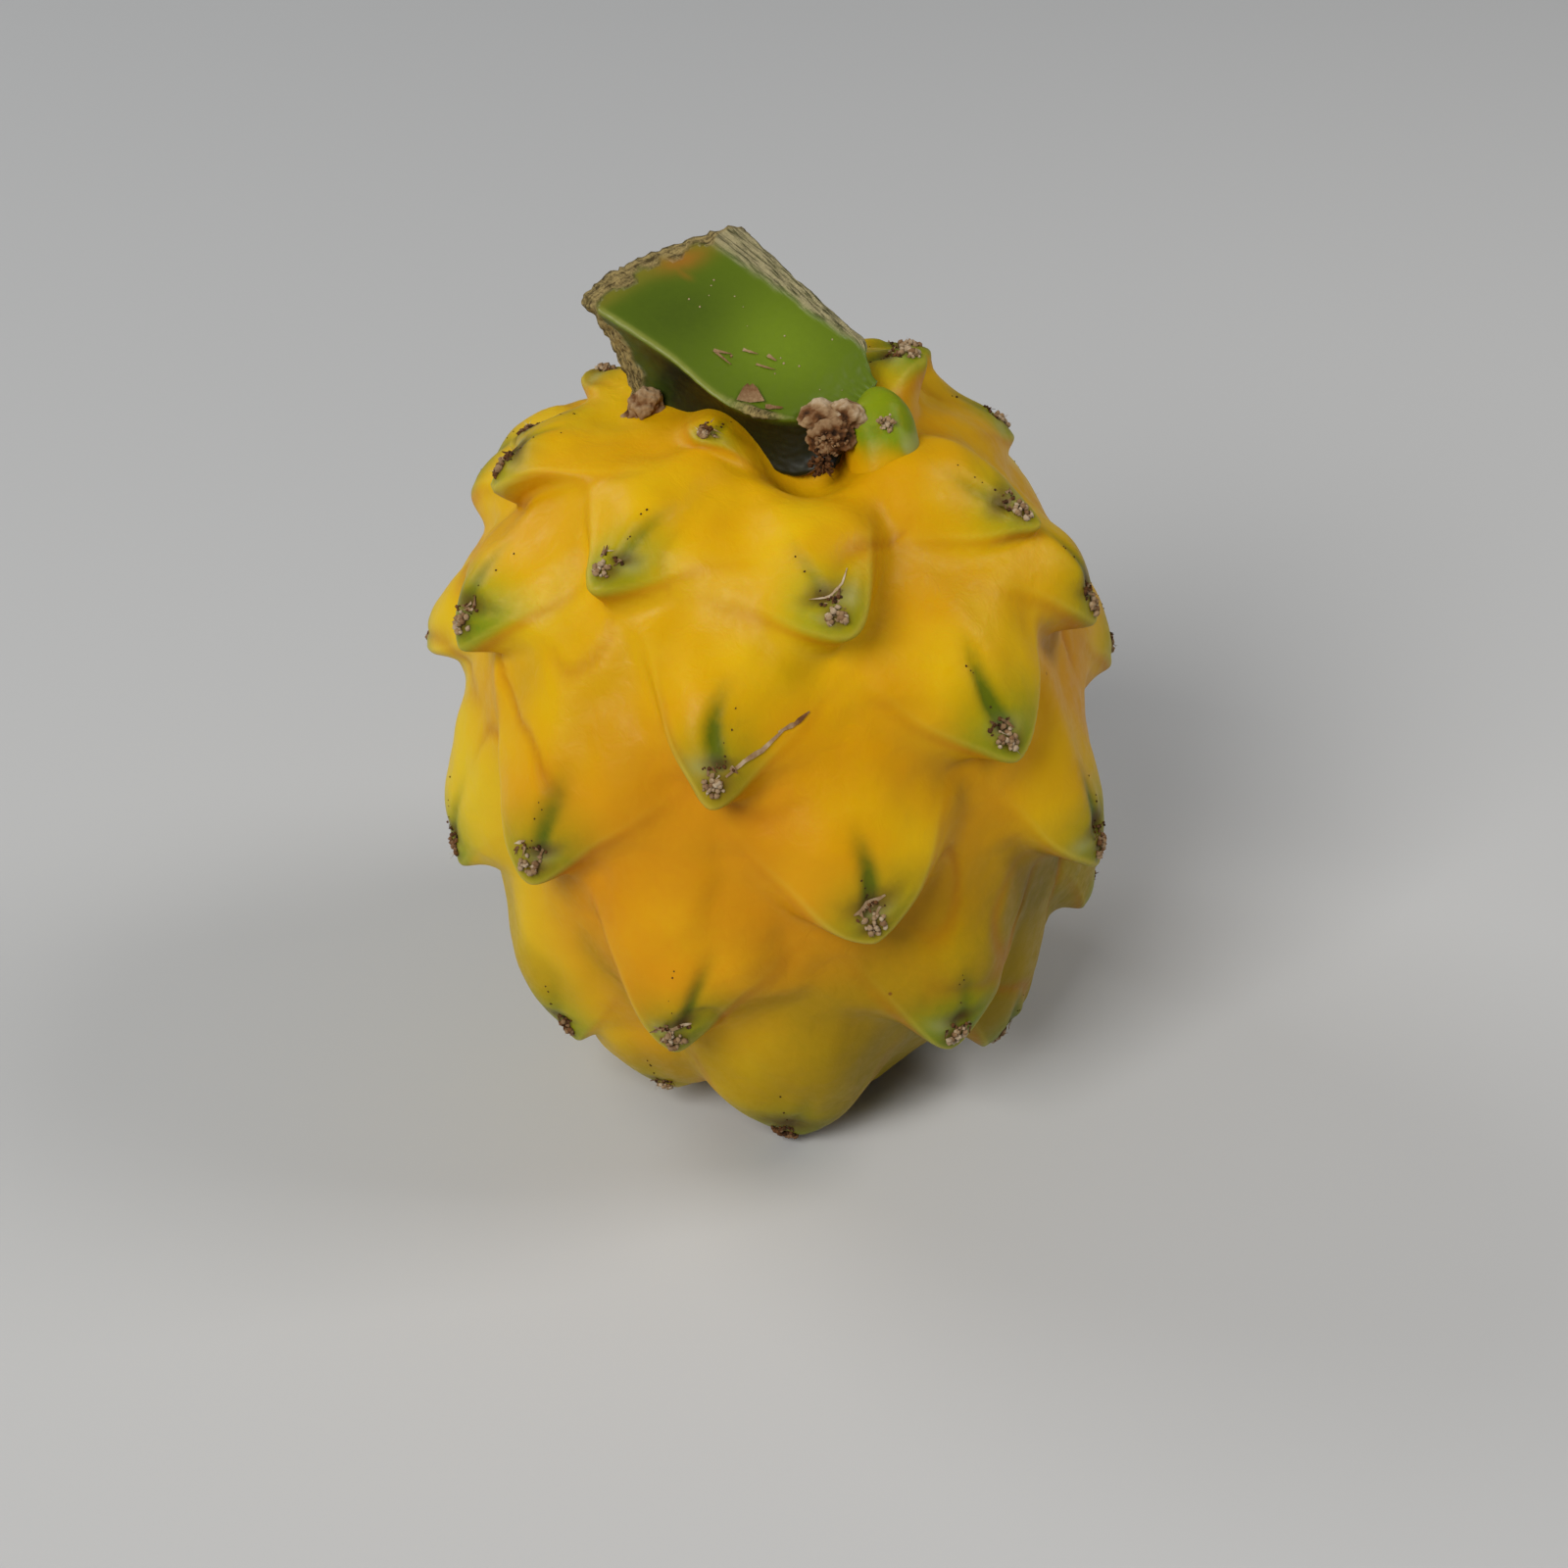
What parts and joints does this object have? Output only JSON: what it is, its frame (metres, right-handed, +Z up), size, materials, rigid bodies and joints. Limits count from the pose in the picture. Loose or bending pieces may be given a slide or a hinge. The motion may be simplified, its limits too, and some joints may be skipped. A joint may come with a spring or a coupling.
{
  "type": "yellow dragon fruit",
  "caption": "Whole yellow dragon fruit with spiralling leaf-like tubercles and a cut green three-ribbed stem stub, standing on its flower scar.",
  "frame": {"origin": "centre of the flat flower scar that the fruit stands on", "axes": "+Z up the fruit's axis towards the stem end; -Y is the front, the side that the picture shows"},
  "size_m": [0.091, 0.0923, 0.1091],
  "materials": {
    "rind": "satin, waxy golden fruit rind",
    "stem_skin": "satin green cactus skin with dry corky edges"
  },
  "bodies": {
    "root": {"fruit": "rind", "stem": "stem_skin"}
  },
  "joints": []
}
